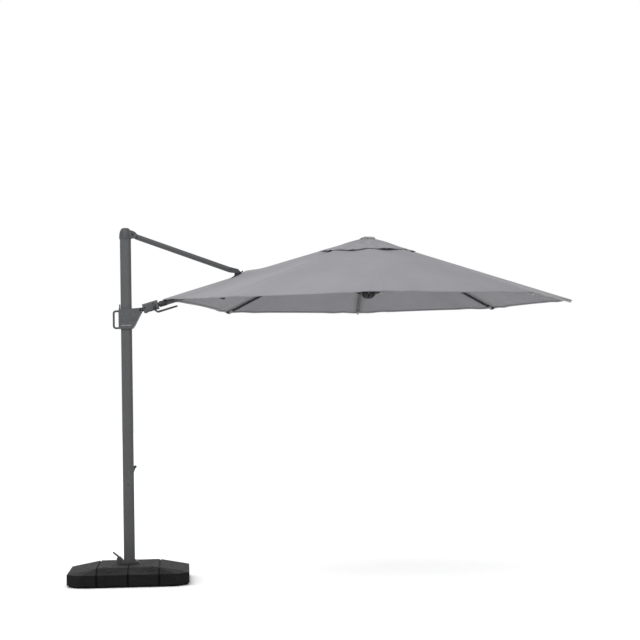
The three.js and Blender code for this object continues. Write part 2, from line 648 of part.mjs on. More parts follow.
// The height of the cloth's corner over rib k, at a given radius of the whole ridge.
const slopeOf = (k) => (k === LEFT_RIB ? BOOM_ANGLE : RIM_SLOPE);
const mainCorner = (k) => CANOPY.apex - CANOPY.radius * Math.tan(slopeOf(k));
const ventCorner = (k) => CANOPY.apex - VENT.radius * Math.tan(slopeOf(k)) + VENT.rise;

// Points on one side seam, on the ridge over the rib, and on the other side seam, at one radius.
// The hem is cut a little short between the ribs.
function clothRow(k, radius, full, apexZ, cornerZ) {
  const share = radius / full;
  const here = cornerZ(k);
  const side = (turn) => {
    const there = cornerZ((k + turn + RIB_COUNT) % RIB_COUNT);
    const out = radius === full ? 1 - CANOPY.bow : share;
    const x = out * (full + full * Math.SQRT1_2) / 2;
    const y = turn * ((out * full * Math.SQRT1_2) / 2 - 0.25);
    return [x, y, apexZ + out * ((here + there) / 2 - apexZ)];
  };
  return [side(-1), [radius, 0, apexZ + share * (here - apexZ)], side(1)];
}

function makePanel(k) {
  const inner = VENT.radius - VENT.overlap;
  const main = sheet(
    [inner, CANOPY.radius].map((r) => clothRow(k, r, CANOPY.radius, CANOPY.apex, mainCorner)),
    CANOPY.cloth,
  );
  const vent = sheet(
    [VENT.hole, VENT.radius].map((r) => clothRow(k, r, VENT.radius, VENT.apex, ventCorner)),
    CANOPY.cloth,
  );
  const seam = VENT.radius - VENT.stitch;
  const seamZ = CANOPY.apex - seam * Math.tan(slopeOf(k));
  const stitched = box(seam - 8, seam + 8, -5, 5, seamZ - 2, seamZ + VENT.rise);
  const { from, to, halfWidth } = OPENING;
  const opening = k === LEFT_RIB ? [box(from, to, -halfWidth, halfWidth, 2000, 2400)] : [];
  return piece(`canopy_panel_${k}`, cut(join(main, vent, stitched), ...opening), CLOTH);
}

function makeSpoke(k) {
  const { slope, stretcher } = ribPlan(k);
  const rib = groupAt(RIB.pivotRadius, 0, pivotZ(k), makeRib(k));
  rib.rotation.y = slope;
  const x = RIB.pivotRadius + stretcher * Math.cos(slope);
  const strut = groupAt(x, 0, pivotZ(k) - stretcher * Math.sin(slope), makeStretcher(k));
  strut.rotation.y = Math.PI - slope;
  const spoke = groupAt(CANOPY.x, 0, 0, rib, strut, makePanel(k));
  spoke.rotation.z = (k * Math.PI * 2) / RIB_COUNT;
  return spoke;
}

// ---- assembly ----
const parasol = new THREE.Group();
const base = groupAt(0, 0, 0, makeCrossBase(), makeSocket(), ...makeTanks());
base.rotation.z = BASE_TURN;
parasol.add(base);
parasol.add(makeMastFoot(), makePedal(), makeMastTube(), makeMastCap(), makeCapPin(), ...makeCrank());
parasol.add(makeSliderBody(), makeCatch(), makeHandle(), makeSliderPin());

const boom = groupAt(SLIDER_PIVOT.x, 0, SLIDER_PIVOT.z, makeYoke(), makeBarrel(), makeTiltLever());
boom.add(makeBoomCollar(), makeBracketPin(), makeBoomNeck(), makeBoomTube());
boom.rotation.y = -BOOM_ANGLE;
const arm = groupAt(CAP_PIVOT.x, 0, CAP_PIVOT.z, ...makeArm());
arm.rotation.y = ARM_DROP.angle;
parasol.add(boom, arm, makeCrownHub(), makeFinial(), makeRunner());
for (let k = 0; k < RIB_COUNT; k += 1) parasol.add(makeSpoke(k));

export default parasol;
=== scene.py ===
import json
import math

import bmesh
import bpy
import numpy as np
from mathutils import Matrix, Vector


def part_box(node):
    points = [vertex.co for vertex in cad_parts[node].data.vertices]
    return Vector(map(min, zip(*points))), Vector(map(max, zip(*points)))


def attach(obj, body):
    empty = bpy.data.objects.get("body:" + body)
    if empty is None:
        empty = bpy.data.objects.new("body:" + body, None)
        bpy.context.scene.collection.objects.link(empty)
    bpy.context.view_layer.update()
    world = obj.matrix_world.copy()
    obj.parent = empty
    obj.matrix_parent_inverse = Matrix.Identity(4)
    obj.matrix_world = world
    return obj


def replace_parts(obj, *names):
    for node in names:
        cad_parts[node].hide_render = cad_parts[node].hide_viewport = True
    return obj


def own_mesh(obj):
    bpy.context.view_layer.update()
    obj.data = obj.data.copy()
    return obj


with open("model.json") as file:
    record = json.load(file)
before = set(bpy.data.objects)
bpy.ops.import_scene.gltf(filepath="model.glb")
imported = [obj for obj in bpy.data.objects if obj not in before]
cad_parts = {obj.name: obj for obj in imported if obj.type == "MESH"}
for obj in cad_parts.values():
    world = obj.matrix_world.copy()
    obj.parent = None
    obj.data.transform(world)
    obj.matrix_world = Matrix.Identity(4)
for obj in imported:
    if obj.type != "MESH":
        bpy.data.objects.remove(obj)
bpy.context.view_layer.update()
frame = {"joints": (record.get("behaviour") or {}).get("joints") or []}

# ---- driving sizes, in metres, and places worked out from the frame ----
RIBS = 8
LEFT = 4
CLOTH = 0.0025
HEM = 0.024
HEM_BOW = 0.03


def middle(node):
    low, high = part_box(node)
    return (low + high) / 2


def joint(name):
    return next(j for j in frame["joints"] if j["name"] == name)


CROWN_X = middle("runner").x
CANOPY_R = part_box("canopy_panel_0")[1].x - CROWN_X
RIM_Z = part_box("canopy_panel_0")[0].z + CLOTH
APEX_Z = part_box("canopy_panel_0")[1].z
BOOM_AXIS = Vector(joint("boom_twist")["axis"])
BOOM_SLOPE = math.atan2(BOOM_AXIS.z, BOOM_AXIS.x)
BOOM_PIVOT = Vector(joint("boom_tilt")["pos_m"])
BASE_TURN = math.radians(2.5)
SEAM_OFFSET = 0.219
MAST_CORNER = 0.027
MAST_WALL = 0.003
ARM_BOTTOM, ARM_TOP = -0.028, 0.0105
CHEEK_INNER, CHEEK_OUTER, CHEEK_NOSE, CHEEK_START = 0.015, 0.0185, 0.016, -0.055
BRACKET_X = 0.862
BRACKET_OPENING = (0.9, 0.988)
BRACKET_OPENING_HALF = 0.018
CAMERA_AT = (0.991, -13.032, 1.302)
CAMERA_YAW_PITCH_ROLL = (-1.838, 2.499, -1.013)
CAMERA_LENS = 100.55
VENT_R = 0.355
VENT_RISE = 0.006
VENT_INNER = 0.012
MAIN_INNER = 0.29
LEFT_Z = APEX_Z - CANOPY_R * math.tan(BOOM_SLOPE)


# ---- node material helpers ----
class Nodes:
    """Short names for building one material's nodes."""

    def __init__(self, name):
        self.material = bpy.data.materials.new(name)
        self.material.use_nodes = True
        self.tree = self.material.node_tree
        self.shader = self.tree.nodes["Principled BSDF"]

    def add(self, kind, **values):
        node = self.tree.nodes.new(kind)
        for key, value in values.items():
            setattr(node, key, value)
        return node

    def link(self, a, b):
        self.tree.links.new(a, b)

    def math(self, operation, a, b=None):
        node = self.add("ShaderNodeMath", operation=operation)
        for i, value in enumerate((a, b)):
            if isinstance(value, (int, float)):
                node.inputs[i].default_value = value
            elif value is not None:
                self.link(value, node.inputs[i])
        return node.outputs[0]

    def place(self, kind="Object"):
        return self.add("ShaderNodeTexCoord").outputs[kind]

    def along(self, direction):
        """How far the point lies from the origin in a direction."""
        node = self.add("ShaderNodeVectorMath", operation="DOT_PRODUCT")
        self.link(self.place(), node.inputs[0])
        node.inputs[1].default_value = direction
        return node.outputs["Value"]

    def noise(self, scale, detail=3.0, coordinates=None, stretch=None):
        where = coordinates or self.place()
        if stretch:
            mapping = self.add("ShaderNodeMapping")
            mapping.inputs["Scale"].default_value = stretch
            self.link(where, mapping.inputs["Vector"])
            where = mapping.outputs[0]
        node = self.add("ShaderNodeTexNoise")
        node.inputs["Scale"].default_value = scale
        node.inputs["Detail"].default_value = detail
        self.link(where, node.inputs["Vector"])
        return node.outputs["Fac"]

    def ramp(self, value, low, high, a=0.0, b=1.0):
        node = self.add("ShaderNodeMapRange")
        self.link(value, node.inputs["Value"])
        for name, number in zip(("From Min", "From Max", "To Min", "To Max"), (low, high, a, b)):
            node.inputs[name].default_value = number
        return node.outputs["Result"]

    def mix(self, factor, a, b):
        node = self.add("ShaderNodeMix", data_type="RGBA")
        self.link(factor, node.inputs["Factor"])
        for socket, value in ((node.inputs[6], a), (node.inputs[7], b)):
            if isinstance(value, tuple):
                socket.default_value = (*value, 1)
            else:
                self.link(value, socket)
        return node.outputs[2]

    def bump(self, height, distance, strength=1.0, after=None):
        node = self.add("ShaderNodeBump")
        node.inputs["Distance"].default_value = distance
        node.inputs["Strength"].default_value = strength
        self.link(height, node.inputs["Height"])
        if after is not None:
            self.link(after, node.inputs["Normal"])
        return node.outputs["Normal"]

    def finish(self, color=None, roughness=None, normal=None, **fixed):
        for name, value in (("Base Color", color), ("Roughness", roughness), ("Normal", normal)):
            if value is not None:
                self.link(value, self.shader.inputs[name])
        for name, value in fixed.items():
            self.shader.inputs[name.replace("_", " ")].default_value = value
        return self.material


def shade(rgb, factor):
    return tuple(c * factor for c in rgb)


def edge_wear(n, color, worn, amount=0.5):
    """Paler where the surface turns sharply outward, broken up by noise."""
    pointed = n.ramp(n.add("ShaderNodeNewGeometry").outputs["Pointiness"], 0.52, 0.6)
    patchy = n.ramp(n.noise(60.0, 4.0), 0.45, 0.65)
    return n.mix(n.math("MULTIPLY", n.math("MULTIPLY", pointed, patchy), amount), color, worn)


def coated_metal(name, rgb, roughness=0.42, wear=0.3, highlight_band=None):
    """Powder coat: a fine pebbled skin, slight colour drift, worn at the edges. A highlight band is a
    painted highlight: a paler strip along a line, given as the line's upward direction, its height and half
    width."""
    n = Nodes(name)
    drift = n.ramp(n.noise(3.0), 0.3, 0.7)
    color = n.mix(drift, shade(rgb, 0.93), shade(rgb, 1.07))
    if highlight_band:
        up, height, half = highlight_band
        off = n.math("ABSOLUTE", n.math("SUBTRACT", n.along(up), height))
        # Painted highlight: the strip along the line is made paler.
        color = n.mix(n.ramp(off, half * 0.8, half, 1.0, 0.0), color, shade(rgb, 1.5))
    color = n.mix(n.ramp(n.noise(900.0, 1.0), 0.4, 0.7, 0.0, 0.35), color, shade(rgb, 1.3))
    if wear:
        color = edge_wear(n, color, shade(rgb, 1.7), wear)
    rough = n.ramp(n.noise(25.0, 4.0), 0.3, 0.7, roughness - 0.05, roughness + 0.08)
    normal = n.bump(n.noise(1400.0, 2.0), 0.0001, 0.35)
    return n.finish(color, rough, normal, Metallic=0.1, Specular_IOR_Level=0.3)


def moulded_plastic(name, rgb, roughness=0.6, grain=500.0, top_light=0.0, shine=0.3, seam_shade=None):
    """Moulded plastic: spark-eroded grain, scuffs on the edges, and painted light from above on upward faces
    where asked. The seams get painted shade; they are given as the direction across them, their places and
    half their width."""
    n = Nodes(name)
    color = n.mix(n.ramp(n.noise(5.0), 0.3, 0.7), shade(rgb, 0.88), shade(rgb, 1.12))
    color = edge_wear(n, color, shade(rgb, 2.2), 0.4)
    # Faces turned upward are painted paler in patches: painted light from above.
    if top_light:
        up = n.add("ShaderNodeSeparateXYZ")
        n.link(n.add("ShaderNodeNewGeometry").outputs["Normal"], up.inputs[0])
        patchy = n.ramp(n.noise(9.0, 5.0), 0.35, 0.75, 0.2, 1.0)
        lit_top = n.math("MULTIPLY", n.ramp(up.outputs[2], 0.6, 1.0), patchy)
        color = n.mix(n.math("MULTIPLY", lit_top, top_light), color, (0.075, 0.073, 0.07))
    # The seams' grooves are painted near-black: painted shade.
    if seam_shade:
        direction, places, half = seam_shade
        across = n.along(direction)
        for place in places:
            off = n.math("ABSOLUTE", n.math("SUBTRACT", across, place))
            color = n.mix(n.ramp(off, half * 0.7, half, 1.0, 0.0), color, shade(rgb, 0.1))
    rough = n.ramp(n.noise(40.0, 4.0), 0.3, 0.7, roughness - 0.08, roughness + 0.1)
    normal = n.bump(n.noise(grain, 3.0), 0.0003, 0.5)
    return n.finish(color, rough, normal, Specular_IOR_Level=shine)


def bare_steel(name, rgb, roughness=0.3):
    """Drawn or turned steel: fine streaks along the piece."""
    n = Nodes(name)
    streaks = n.noise(60.0, 3.0, stretch=(0.3, 8.0, 8.0))
    color = n.mix(n.ramp(streaks, 0.3, 0.7), shade(rgb, 0.8), shade(rgb, 1.1))
    rough = n.ramp(streaks, 0.3, 0.7, roughness - 0.08, roughness + 0.12)
    normal = n.bump(streaks, 0.00008, 0.4)
    return n.finish(color, rough, normal, Metallic=0.85)


def woven_cloth(name, rgb, stitched=True, tone_and_shade=0.95, tone_and_shade_scale=3.5):
    """Plain-woven polyester, darker in soft patches: random tone, and where the patches are strong, as on
    the vent, painted shade of its pleats. The map is in metres: u across from the rib's seam, v along it."""
    n = Nodes(name)
    across = n.add("ShaderNodeSeparateXYZ")
    n.link(n.place("UV"), across.inputs[0])
    u, v = across.outputs[0], across.outputs[1]
    thread = 2 * math.pi / 0.0011
    warp = n.math("SINE", n.math("MULTIPLY", u, thread))
    weft = n.math("SINE", n.math("MULTIPLY", v, thread))
    weave = n.math("ADD", n.math("MULTIPLY", n.math("MULTIPLY", warp, weft), 0.5), 0.5)
    slubs = n.noise(70.0, 3.0, n.place("UV"), (0.25, 3.0, 1.0))
    cloud = n.noise(tone_and_shade_scale, 4.0, n.place("UV"), (1.0, 0.6, 1.0))
    color = n.mix(n.ramp(cloud, 0.38, 0.6), shade(rgb, tone_and_shade), shade(rgb, 1.04))
    color = n.mix(n.ramp(slubs, 0.45, 0.75, 0.0, 0.35), color, shade(rgb, 1.12))
    color = n.mix(n.ramp(weave, 0.0, 1.0, 0.16, 0.0), color, shade(rgb, 0.6))
    normal = n.bump(weave, 0.0002, 0.5)
    if stitched:
        side = n.math("ABSOLUTE", u)
        line = n.math("COMPARE", side, 0.007)
        line.node.inputs[2].default_value = 0.0009
        dash = n.math("GREATER_THAN", n.math("FRACT", n.math("MULTIPLY", v, 1 / 0.0035)), 0.3)
        stitch = n.math("MULTIPLY", line, dash)
        # The felled strip along the rib's seam is painted paler: a painted highlight along the ridge. The
        # same strip raises the seam's bump.
        felled_and_highlight = n.ramp(side, 0.0085, 0.0105, 1.0, 0.0)
        color = n.mix(n.math("MULTIPLY", felled_and_highlight, 0.5), color, shade(rgb, 1.1))
        color = n.mix(n.math("MULTIPLY", stitch, 0.5), color, shade(rgb, 0.6))
        normal = n.bump(n.math("ADD", felled_and_highlight, n.math("MULTIPLY", stitch, 0.4)), 0.0012, 0.8, normal)
    creases = n.noise(7.0, 3.0, n.place("UV"), (2.4, 0.35, 1.0))
    normal = n.bump(creases, 0.006, 0.35, normal)
    return n.finish(color, None, normal, Roughness=0.88, Sheen_Weight=0.1, Sheen_Roughness=0.5,
                    Specular_IOR_Level=0.3)


ARM_PIN = Vector(joint("arm_swing")["pos_m"])
ARM_END = middle("bracket_pin")
ARM_UP = Vector((ARM_PIN.z - ARM_END.z, 0, ARM_END.x - ARM_PIN.x)).normalized()

METAL = coated_metal("frame_powder_coat", (0.06, 0.062, 0.064), 0.6, wear=0)
# The arm carries a painted highlight along its middle.
ARM_METAL = coated_metal(
    "arm_powder_coat", (0.039, 0.041, 0.044), wear=0, highlight_band=(ARM_UP, ARM_UP.dot(ARM_PIN), 0.008))
SLIDER_METAL = coated_metal("slider_powder_coat", (0.051, 0.053, 0.056), 0.5)
BASE_STEEL = coated_metal("base_powder_coat", (0.02, 0.0205, 0.022), 0.55)
RIB_COAT = coated_metal("rib_coat", (0.024, 0.0255, 0.028), 0.45)
SEAM_ACROSS = Vector((math.cos(BASE_TURN), math.sin(BASE_TURN), 0))
# Near-black lines along the tanks' seam grooves: painted shade.
TANK_SEAM_SHADE = (SEAM_ACROSS, (-SEAM_OFFSET, 0, SEAM_OFFSET), 0.005)
TANK = moulded_plastic(
    "tank_plastic", (0.0052, 0.0053, 0.0057), 0.7, 260.0, 0.28, 0.1, TANK_SEAM_SHADE)
BLACK = moulded_plastic("black_plastic", (0.011, 0.011, 0.0125), 0.5)
FITTING = moulded_plastic("fitting_plastic", (0.042, 0.0435, 0.046), 0.5)
HANDLE_GRIP = moulded_plastic("handle_grip", (0.034, 0.035, 0.038), 0.55)
STEEL = bare_steel("zinc_steel", (0.16, 0.165, 0.17))
DARK_WIRE = bare_steel("dark_wire", (0.05, 0.052, 0.054), 0.38)
CLOTH_RGB = (0.164, 0.164, 0.176)
FABRIC = woven_cloth("canopy_cloth", CLOTH_RGB)
# The vent's strong, small patches are painted shade standing for the folds of its pleats.
VENT_CLOTH = woven_cloth("vent_cloth", CLOTH_RGB, tone_and_shade=0.8, tone_and_shade_scale=16.0)
POCKET_CLOTH = woven_cloth("pocket_cloth", (0.26, 0.26, 0.272), False)
# Rib 0's covered tip is much paler cloth: painted light where the tip shows bright.
END_LIT_CLOTH = woven_cloth("end_lit_cloth", (0.4, 0.4, 0.41), False)
END_CLOTHS = {0: END_LIT_CLOTH, 6: FABRIC, 7: POCKET_CLOTH}
LABEL = moulded_plastic("pale_stripe", (0.15, 0.15, 0.155), 0.4)


# ---- mesh helpers ----
def add_mesh(name, vertices, faces, material, body):
    mesh = bpy.data.meshes.new(name)
    mesh.from_pydata([tuple(v) for v in vertices], [], faces)
    mesh.update()
    return dress(bpy.data.objects.new(name, mesh), material, body)


def dress(obj, material, body):
    if obj.name not in bpy.context.scene.collection.objects:
        bpy.context.scene.collection.objects.link(obj)
    obj.data.materials.clear()
    obj.data.materials.append(material)
    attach(obj, body)
    return obj


def ring_faces(pairs, count):
    """Quads between rings of as many points each; a pair gives the places of two rings."""
    faces = []
    for a, b in pairs:
        for i in range(count):
            j = (i + 1) % count
            faces.append((a * count + i, a * count + j, b * count + j, b * count + i))
    return faces


def in_turn(count):
    """Each ring paired with the next."""
    return [(ring, ring + 1) for ring in range(count - 1)]


def smooth(mesh, angle=0.6):
    """Smooth shading with sharp edges where faces meet at more than the angle."""
    work = bmesh.new()
    work.from_mesh(mesh)
    for face in work.faces:
        face.smooth = True
    for edge in work.edges:
        edge.smooth = len(edge.link_faces) == 2 and edge.calc_face_angle(0.0) < angle
    work.to_mesh(mesh)
    work.free()


def bevelled(work, width, segments, angle=0.5):
    """Flat areas merged back to single faces, then every hard edge rounded."""
    bmesh.ops.dissolve_limit(work, angle_limit=0.02, verts=work.verts, edges=work.edges)
    hard = [e for e in work.edges if len(e.link_faces) == 2 and e.calc_face_angle(0.0) > angle]
    bmesh.ops.bevel(
        work, geom=hard, offset=width, offset_type="OFFSET", segments=segments,
        profile=0.5, affect="EDGES", clamp_overlap=True, harden_normals=False)
    bmesh.ops.dissolve_degenerate(work, dist=1e-6, edges=work.edges)


def refine(node, body, material, width=0.0015, segments=2, crease=0.6):
    """A piece with the CAD node's shape and rounded edges, which stands for the node."""
    work = bmesh.new()
    work.from_mesh(bpy.data.objects[node].data)
    bevelled(work, width, segments)
    mesh = bpy.data.meshes.new(node + "_look")
    work.to_mesh(mesh)
    work.free()
    smooth(mesh, crease)
    obj = dress(bpy.data.objects.new(node + "_look", mesh), material, body)
    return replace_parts(obj, node)


def turned(name, profile, at, axis, material, body, sides=32, close=True):
    """A profile of (radius, distance) pairs turned about an axis."""
    turn = Vector((0, 0, 1)).rotation_difference(Vector(axis)).to_matrix()
    vertices = []
    for radius, along in profile:
        for i in range(sides):
            angle = 2 * math.pi * i / sides
            point = Vector((radius * math.cos(angle), radius * math.sin(angle), along))
            vertices.append(Vector(at) + turn @ point)
    faces = ring_faces(in_turn(len(profile)), sides)
    if close:
        faces.append(tuple(reversed(range(sides))))
        faces.append(tuple((len(profile) - 1) * sides + i for i in range(sides)))
    obj = add_mesh(name, vertices, faces, material, body)
    smooth(obj.data)
    return obj


def bolt(name, at, axis, size, material, body):
    """A domed socket-head bolt standing on a face."""
    profile = [(size * 1.25, 0), (size * 1.25, size * 0.15), (size, size * 0.2), (size, size * 0.6),
               (size * 0.8, size * 0.82), (size * 0.5, size * 0.85), (size * 0.45, size * 0.4)]
    return turned(name, profile, at, axis, material, body, 20)


def slab(name, low, high, material, body, width=0.001, segments=3):
    """A box with rounded edges."""
    work = bmesh.new()
    bmesh.ops.create_cube(work, size=1)
    low, high = Vector(low), Vector(high)
    for vertex in work.verts:
        vertex.co = Vector((a + (b - a) * (c + 0.5) for a, b, c in zip(low, high, vertex.co)))
    bevelled(work, width, segments)
    mesh = bpy.data.meshes.new(name)
    work.to_mesh(mesh)
    work.free()
    smooth(mesh)
    return dress(bpy.data.objects.new(name, mesh), material, body)


# ---- base, mast and fittings carried over from the CAD with rounded edges ----
REFINED = (
    ("base", "base_plastic", TANK, 0.007, 4,
     ("tank_front_right", "tank_back_right", "tank_back_left", "tank_front_left")),
    ("base", "dark_plastic", TANK, 0.0012, 2,
     ("fill_cap_front_right", "fill_cap_back_right", "fill_cap_back_left", "fill_cap_front_left")),
    ("base", "base_steel", BASE_STEEL, 0.0015, 2, ("cross_base", "swivel_socket")),
    ("mast", "dark_plastic", FITTING, 0.002, 3, ("mast_foot", "mast_cap")),
    ("mast", "dark_plastic", BLACK, 0.001, 2, ("crank_housing",)),
    ("mast", "steel", DARK_WIRE, 0.0008, 2, ("cap_pin",)),
    ("pedal", "dark_plastic", BLACK, 0.0015, 3, ("foot_pedal",)),
    ("crank", "dark_plastic", HANDLE_GRIP, 0.0015, 3, ("crank_arm",)),
    ("knob", "dark_plastic", HANDLE_GRIP, 0.002, 3, ("crank_knob",)),
    ("slider", "frame_metal", SLIDER_METAL, 0.003, 3, ("slider_body",)),
    ("slider", "dark_plastic", HANDLE_GRIP, 0.004, 4, ("slider_handle",)),
    ("slider", "steel", STEEL, 0.0008, 2, ("slider_pin",)),
    ("catch", "dark_plastic", BLACK, 0.001, 2, ("slider_catch",)),
    ("carrier", "dark_plastic", BLACK, 0.0015, 2, ("pivot_yoke", "boom_collar")),
    ("carrier", "frame_metal", SLIDER_METAL, 0.003, 3, ("tilt_barrel",)),
    ("carrier", "steel", STEEL, 0.0006, 2, ("bracket_pin",)),
    ("arm", "frame_metal", ARM_METAL, 0.002, 3, ("arm_tube",)),
    ("arm", "dark_plastic", HANDLE_GRIP, 0.002, 3, ("arm_upper_end",)),
    ("boom", "dark_plastic", BLACK, 0.0015, 2, ("boom_neck", "crown_hub")),
    ("boom", "frame_metal", METAL, 0.0006, 2, ("boom_tube",)),
    ("runner", "dark_plastic", BLACK, 0.002, 3, ("runner",)),
)
for body, slot, material, width, segments, nodes in REFINED:
    for node in nodes:
        refine(node, body, material, width, segments, 0.2 if material is TANK else 0.6)
for k in range(RIBS):
    refine(f"rib_{k}", f"spoke_{k}", RIB_COAT, 0.002, 3)
    refine(f"stretcher_{k}", f"strut_{k}", RIB_COAT, 0.0015, 3)


def rounded_route(corners, bend, steps=6):
    """Straight legs with each inner corner replaced by a short curve."""
    points = [corners[0]]
    for before, corner, after in zip(corners, corners[1:], corners[2:]):
        start = corner + (before - corner).normalized() * bend
        end = corner + (after - corner).normalized() * bend
        for i in range(steps + 1):
            t = i / steps
            points.append(start * (1 - t) ** 2 + corner * 2 * t * (1 - t) + end * t ** 2)
    return points + [corners[-1]]


def wire_lever():
    """The bent wire loop that frees the side tilt, as one smooth round bar."""
    pivot = Vector(joint("lever_press")["pos_m"])
    turn = Matrix.Rotation(-BOOM_SLOPE, 3, "Y")
    half = [(0, 0.033, 0), (-0.014, 0.033, -0.024), (0.006, 0.033, -0.049), (0.13, 0.014, -0.049),
            (0.152, 0.009, -0.049)]
    corners = [(x, -y, z) for x, y, z in half] + half[::-1]
    route = rounded_route([pivot + turn @ Vector(place) for place in corners], 0.008)
    curve = bpy.data.curves.new("tilt_lever_look", "CURVE")
    curve.dimensions = "3D"
    curve.bevel_depth = 0.006
    curve.bevel_resolution = 4
    curve.use_fill_caps = True
    spline = curve.splines.new("POLY")
    spline.points.add(len(route) - 1)
    for point, place in zip(spline.points, route):
        point.co = (*place, 1)
    spline.use_smooth = True
    obj = bpy.data.objects.new("tilt_lever_look", curve)
    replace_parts(dress(obj, DARK_WIRE, "lever"), "tilt_lever")
    for side in (-1, 1):
        profile = [(0.0046, -0.0035), (0.008, -0.0035), (0.0085, 0), (0.008, 0.0035), (0.0046, 0.0035)]
        at = pivot + Vector((0, side * 0.0325, 0))
        turned(f"lever_eye_{side + 1}", profile, at, (0, 1, 0), DARK_WIRE, "lever", 24)


wire_lever()


# ---- small fittings ----
def slider_fittings():
    low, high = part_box("slider_body")
    mast_low, mast_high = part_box("mast_tube")
    stripe_z = low.z + 0.024
    slab("slider_stripe", (mast_low.x + 0.003, low.y - 0.0012, stripe_z - 0.004),
         (mast_high.x, low.y + 0.001, stripe_z + 0.004), LABEL, "slider", 0.0006, 2)
    for side in (-1, 1):
        for x in (0.041, 0.053):
            at = (x, side * high.y, low.z + 0.061)
            name = f"slider_bolt_{round(x * 1000)}_{side + 1}"
            bolt(name, at, (0, side, 0), 0.003, HANDLE_GRIP, "slider")
        at = (BOOM_PIVOT.x, side * high.y, BOOM_PIVOT.z)
        bolt(f"slider_pivot_bolt_{side + 1}", at, (0, side, 0), 0.008, BLACK, "slider")


def barrel_fittings():
    up = Vector((-BOOM_AXIS.z, 0, BOOM_AXIS.x))
    for along, above in ((0.032, 0.006), (0.098, 0.019), (0.108, -0.016)):
        for side in (-1, 1):
            at = BOOM_PIVOT + BOOM_AXIS * along + up * above + Vector((0, side * 0.0268, 0))
            name = f"barrel_bolt_{round(along * 1000)}_{side + 1}"
            bolt(name, at, (0, side, 0), 0.0042, BLACK, "carrier")


def mast_fittings():
    """Rivets that hold the winch inside the mast, on its curved front, and the cap's bolt."""
    low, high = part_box("mast_tube")
    corner = MAST_CORNER
    for x, z in ((0.013, 0.827), (0.025, 0.790), (-0.009, 0.767)):
        past = max(0.0, abs(x) - (high.x - corner))
        lean = Vector((math.copysign(past, x), -math.sqrt(corner ** 2 - past ** 2), 0)).normalized()
        at = Vector((x, low.y + corner * (1 + lean.y), z))
        bolt(f"mast_rivet_{round(z * 1000)}", at, lean, 0.0024, BLACK, "mast")
    bolt("cap_bolt", (ARM_PIN.x, -0.029, ARM_PIN.z), (0, -1, 0), 0.0045, BLACK, "mast")


def mast_wall():
    """The mast as one clean extrusion: a rectangle with big round corners, open at both ends."""
    low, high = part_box("mast_tube")
    rings = []
    for inset, z in ((0, low.z), (0, high.z), (MAST_WALL, high.z), (MAST_WALL, low.z)):
        ring = []
        for corner, (x_sign, y_sign) in enumerate(((1, 1), (-1, 1), (-1, -1), (1, -1))):
            for step in range(13):
                angle = math.pi / 2 * (corner + step / 12)
                round_x = x_sign * (high.x - MAST_CORNER) + (MAST_CORNER - inset) * math.cos(angle)
                round_y = y_sign * (high.y - MAST_CORNER) + (MAST_CORNER - inset) * math.sin(angle)
                ring.append((round_x, round_y, z))
        rings.append(ring)
    count = len(rings[0])
    vertices = [point for ring in rings for point in ring]
    faces = ring_faces(((0, 1), (1, 2), (2, 3), (3, 0)), count)
    wall = add_mesh("mast_tube_look", vertices, faces, METAL, "mast")
    smooth(wall.data)
    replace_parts(wall, "mast_tube")


def side_plate(name, outline, y_low, y_high, material, body):
    """A flat plate across Y. Its outline is drawn along the upper arm, from the bracket's pin."""
    along = (ARM_END - ARM_PIN).normalized()
    count = len(outline)
    vertices = [
        ARM_END + along * s + ARM_UP * h + Vector((0, y, 0)) for y in (y_low, y_high) for s, h in outline]
    faces = ring_faces([(0, 1)], count)
    faces += [tuple(reversed(range(count))), tuple(range(count, 2 * count))]
    plate = add_mesh(name, vertices, faces, material, body)
    smooth(plate.data)
    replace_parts(plate, "arm_lower_end")


def arm_fork():
    """The fork at the arm's lower end, as deep as the arm where it starts and round at its pin."""
    angles = [math.pi * (i / 12 - 0.5) for i in range(13)]
    nose = [(CHEEK_NOSE * math.cos(a), CHEEK_NOSE * math.sin(a)) for a in angles]
    cheek = [(CHEEK_START, ARM_BOTTOM), *nose, (CHEEK_START, ARM_TOP)]
    side_plate("arm_cheek_front", cheek, -CHEEK_OUTER, -CHEEK_INNER, HANDLE_GRIP, "arm")
    side_plate("arm_cheek_back", cheek, CHEEK_INNER, CHEEK_OUTER, HANDLE_GRIP, "arm")
    stop = [(-0.0557, ARM_BOTTOM), (-0.042, -0.025), (-0.042, 0.0115), (-0.0557, ARM_TOP)]
    side_plate("arm_stop", stop, -0.0188, 0.0188, HANDLE_GRIP, "arm")


slider_fittings()
barrel_fittings()
mast_fittings()
mast_wall()
arm_fork()


# ---- canopy ----
def corner_z(k):
    return LEFT_Z if k % RIBS == LEFT else RIM_Z


def vent_corner_z(k):
    return APEX_Z + (corner_z(k) - APEX_Z) * VENT_R / CANOPY_R + VENT_RISE


def outward(k):
    angle = 2 * math.pi * k / RIBS
    return Vector((math.cos(angle), math.sin(angle), 0)), Vector((-math.sin(angle), math.cos(angle), 0))


def tension_folds(panel, share, t):
    """Shallow folds that fan in from the hem's corner, dying out before the mid-panel line."""
    near = max(0.0, share - 0.5) / 0.5
    fan = math.sin(15 * t + 2.3 * panel) * math.exp(-((t - 0.28) / 0.2) ** 2)
    return 0.0035 * fan * near ** 1.5


def bracket_lift(radius, aside):
    """The left cloth stands a little proud of its rib, most of all where the bracket props it."""
    from_bracket = (CROWN_X - radius) - BRACKET_X
    width = 0.085 if from_bracket > 0 else 0.04
    prop = 0.019 * math.exp(-(from_bracket / width) ** 2)
    return (prop + 0.006 * math.sin(math.pi * min(1, radius / CANOPY_R))) * math.exp(-(aside / 0.11) ** 2)


def vent_shape(panel, radius, share, t):
    """The vent's tip is pressed flat, pleats run down from it, and its hem waves over the gap."""
    ease = math.sin(math.pi * t / 2)
    flat = -0.006 * math.exp(-(radius / 0.04) ** 2)
    pleats = 0.0036 * math.sin(7 * t + 2.7 * panel) * math.exp(-((radius - 0.14) / 0.09) ** 2)
    gape = 0.0046 * math.sin(5.2 * t + 2.6 * panel + 0.5) * share ** 6
    return flat + (pleats + gape) * ease


